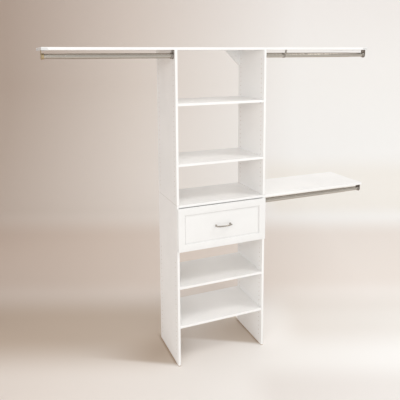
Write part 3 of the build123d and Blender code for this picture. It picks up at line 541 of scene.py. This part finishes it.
# Drawer box and runners
# Thin white boards round a hardboard bottom, on roller runners of folded sheet in cream enamel
# with nylon rollers.
hardboard_tones = (0.78, 0.765, 0.73, 1.0), (0.84, 0.83, 0.80, 1.0)
hardboard_roughness, fibre_roughness = 0.5, 0.15
fibre_scale, fibre_stretch, fibre_depth = 500.0, (0.5, 1.0, 1.0), 0.00005
enamel_cream = (0.76, 0.74, 0.695, 1.0), (0.80, 0.785, 0.745, 1.0)
nylon_tones = (0.74, 0.72, 0.67, 1.0), (0.82, 0.81, 0.78, 1.0)
nylon_roughness, scuff_roughness, scuff_scale, scuff_depth = 0.42, 0.2, 320.0, 0.00003
runner_sides = ("left", "right")
runner_kinds = ("cabinet", "drawer")
dress(laminate("drawer_board_laminate", False), "drawer_left_side", "drawer_right_side", "drawer_back")
hardboard = Finish("white_hardboard", Specular_IOR_Level=0.35)
fibre = hardboard.noise(fibre_scale, hardboard.stretched(*fibre_stretch), detail=5.0)
hardboard.feed("Base Color", hardboard.between(fibre, *hardboard_tones))
hardboard.feed("Roughness", hardboard_roughness + fibre_roughness * fibre)
hardboard.raise_by(fibre, fibre_depth)
dress(hardboard.material, "drawer_bottom")
dress(
    enamel("runner_enamel", enamel_cream),
    *[f"{side}_{kind}_runner" for side in runner_sides for kind in runner_kinds],
)
nylon = Finish("roller_nylon", Specular_IOR_Level=0.4, Subsurface_Weight=0.1, Subsurface_Scale=0.002)
scuff = nylon.noise(scuff_scale, detail=4.0)
nylon.feed("Base Color", nylon.between(scuff, *nylon_tones))
nylon.feed("Roughness", nylon_roughness + scuff_roughness * scuff)
nylon.raise_by(scuff, scuff_depth)
dress(nylon.material, *[f"{side}_{kind}_roller" for side in runner_sides for kind in runner_kinds])

# Room
# A pale studio sweep: a level floor that curves up into a backdrop, square to the camera's
# heading. It is lit from the right, and the warm shade that the backdrop falls off to on the left is
# painted into the paper, as are its darker bands and the shadows beside the feet.
heading = np.array([np.sin(camera_yaw), np.cos(camera_yaw), 0.0])
sweep_distance = 7.9
sweep_radius = 1.6
sweep_half_width = 14.0
sweep_height = 7.0
sweep_front = -7.0
sweep_steps = 48
# The paper's painted shade from left to right across this reach to each side, each with its place from 0 to
# 1
paper_reach = 3.2
paper_shade_stops = [
    (0.0, (0.56, 0.465, 0.40, 1.0)), (0.32, (0.79, 0.72, 0.665, 1.0)), (0.72, (0.985, 0.98, 0.97, 1.0)),
]
# Softly darker bands: the shade, the middle's way along the sweep, where it starts and ends to fade,
# and its left and right ends. The third one is the shade that the tower throws on the floor.
paper_bands = [
    ((0.88, 0.82, 0.78, 1.0), 1.55, 0.5, 1.3, -9.0, 9.0),
    ((0.95, 0.93, 0.925, 1.0), 8.2, 0.4, 2.0, -9.0, 9.0),
    ((0.74, 0.665, 0.59, 1.0), 0.19, 0.12, 0.62, -9.0, -0.45),
    ((0.967, 0.94, 0.90, 1.0), 3.7, 0.4, 1.1, 1.0, 9.0),
    ((0.90, 0.875, 0.85, 1.0), 0.33, 0.12, 0.5, 0.7, 9.0),
    ((0.90, 0.88, 0.87, 1.0), -0.62, 0.12, 0.42, 0.4, 9.0),
]
band_fade = 0.3
paper_grain, paper_relief = 90.0, 0.0004
# The shade that each side panel's foot throws to the left and back, broad and then narrow: its tone,
# its edge, and for each the panel's place, the reach, and where it starts and ends to fade at the rear
foot_tone = (0.72, 0.65, 0.58, 1.0)
foot_slant, foot_softness, foot_overlap = 0.58, 0.05, 0.008
left_foot, right_foot = -0.3455, 0.2766
foot_shades = [
    (left_foot, 0.75, -0.02, 0.33), (right_foot, 0.8, 0.1, 0.6),
    (left_foot, 0.022, 0.18, 0.28), (right_foot, 0.022, 0.18, 0.28),
]


def sweep_surface():
    """Floor and backdrop: along the heading t, height 0 up to the wall, then a quarter circle
    (D - R + R sin a, R - R cos a), then straight up at t = D; carried level to both sides."""
    angle = np.linspace(0.0, np.pi / 2, sweep_steps)
    curve_t = sweep_distance - sweep_radius + sweep_radius * np.sin(angle)
    curve_z = sweep_radius - sweep_radius * np.cos(angle)
    t = np.concatenate([[sweep_front], curve_t, [sweep_distance]])
    z = np.concatenate([[0.0], curve_z, [sweep_height]])
    side = np.array([-sweep_half_width, sweep_half_width])
    origin = np.array([camera_place[0], camera_place[1], 0.0])
    return (origin + t[:, None, None] * heading + side[None, :, None] * level_right
            + z[:, None, None] * np.array([0.0, 0.0, 1.0]))


paper = Finish("studio_paper", Roughness=0.9, Specular_IOR_Level=0.15)
across = paper.along(level_right)
along = paper.z + paper.along(heading)
tone_place = (across + paper_reach) / (2 * paper_reach)
tone = paper.node("ShaderNodeValToRGB", {"stops": paper_shade_stops}, {0: tone_place})
for shade, middle, start, end, left_end, right_end in paper_bands:
    share = paper.spread(abs(along - middle), start, end, 1.0, 0.0)
    share = share * paper.spread(across, left_end - band_fade, left_end)
    share = share * paper.spread(across, right_end, right_end + band_fade, 1.0, 0.0)
    tone = paper.between(share, tone, shade, "MULTIPLY")
for foot, reach, near, far in foot_shades:
    past_corner = paper.y - front_plane + foot_slant * (paper.x - foot)
    share = paper.spread(past_corner, 0.0, foot_softness) * paper.spread(paper.x, foot - reach, foot)
    share = share * (paper.x < foot + foot_overlap) * paper.spread(paper.y, near, far, 1.0, 0.0)
    tone = paper.between(share, tone, foot_tone, "MULTIPLY")
paper.feed("Base Color", tone)
paper.raise_by(paper.noise(paper_grain), paper_relief)
sweep_grid = sweep_surface()
sweep = piece("studio_sweep", sweep_grid, joined(sweep_grid), paper.material)

world = bpy.data.worlds.new("studio_air")
world.use_nodes = True
air = world.node_tree.nodes["Background"].inputs
air["Color"].default_value, air["Strength"].default_value = (1.0, 0.992, 0.978, 1.0), 0.76
bpy.context.scene.world = world
bpy.context.scene.view_settings.view_transform = "Standard"


def softbox(name, place, aim, width, height, power, colour):
    """A large soft lamp at a place, turned to its aim."""
    data = bpy.data.lights.new(name, "AREA")
    data.shape, data.size, data.size_y = "RECTANGLE", width, height
    data.energy, data.color = power, colour
    lamp = bpy.data.objects.new(name, data)
    lamp.location = place
    lamp.rotation_euler = (Vector(aim) - Vector(place)).to_track_quat("-Z", "Y").to_euler()
    bpy.context.scene.collection.objects.link(lamp)


closet_middle = (0.0, 0.0, 1.0)
softbox("key_lamp", (3.3, -2.4, 5.4), closet_middle, 1.6, 1.6, 88.0, (1.0, 0.985, 0.96))
softbox("fill_lamp", (-3.0, -3.4, 2.4), closet_middle, 2.5, 2.5, 55.0, (1.0, 1.0, 1.0))
